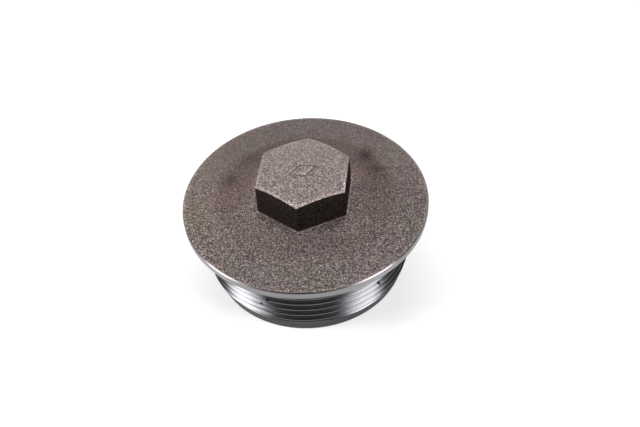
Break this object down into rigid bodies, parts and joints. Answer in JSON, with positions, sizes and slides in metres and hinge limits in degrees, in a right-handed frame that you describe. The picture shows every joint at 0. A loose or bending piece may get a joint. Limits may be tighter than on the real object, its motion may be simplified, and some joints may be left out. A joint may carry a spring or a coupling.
{
  "type": "screw cap for a pipe fitting",
  "caption": "Flanged round screw cap with a hexagon head, a threaded hollow skirt and a flat sealing ring under the flange.",
  "frame": {"origin": "centre of the skirt's open end, the face the cap stands on", "axes": "+Z along the thread axis, from the skirt's open end to the hexagon head"},
  "size_m": [0.07, 0.07, 0.0355],
  "materials": {
    "cast_steel": "shot-blasted cast steel on the head and flange, bright turned steel on the rim, thread and nose",
    "seal_rubber": "moulded black nitrile rubber"
  },
  "bodies": {
    "cap": {"cap_body": "cast_steel"},
    "seal": {"sealing_ring": "seal_rubber"}
  },
  "joints": [
    {"name": "seal_pull_off", "type": "slide", "parent": "cap", "child": "seal", "axis": [0, 0, -1], "range_m": [0, 0.028]}
  ]
}
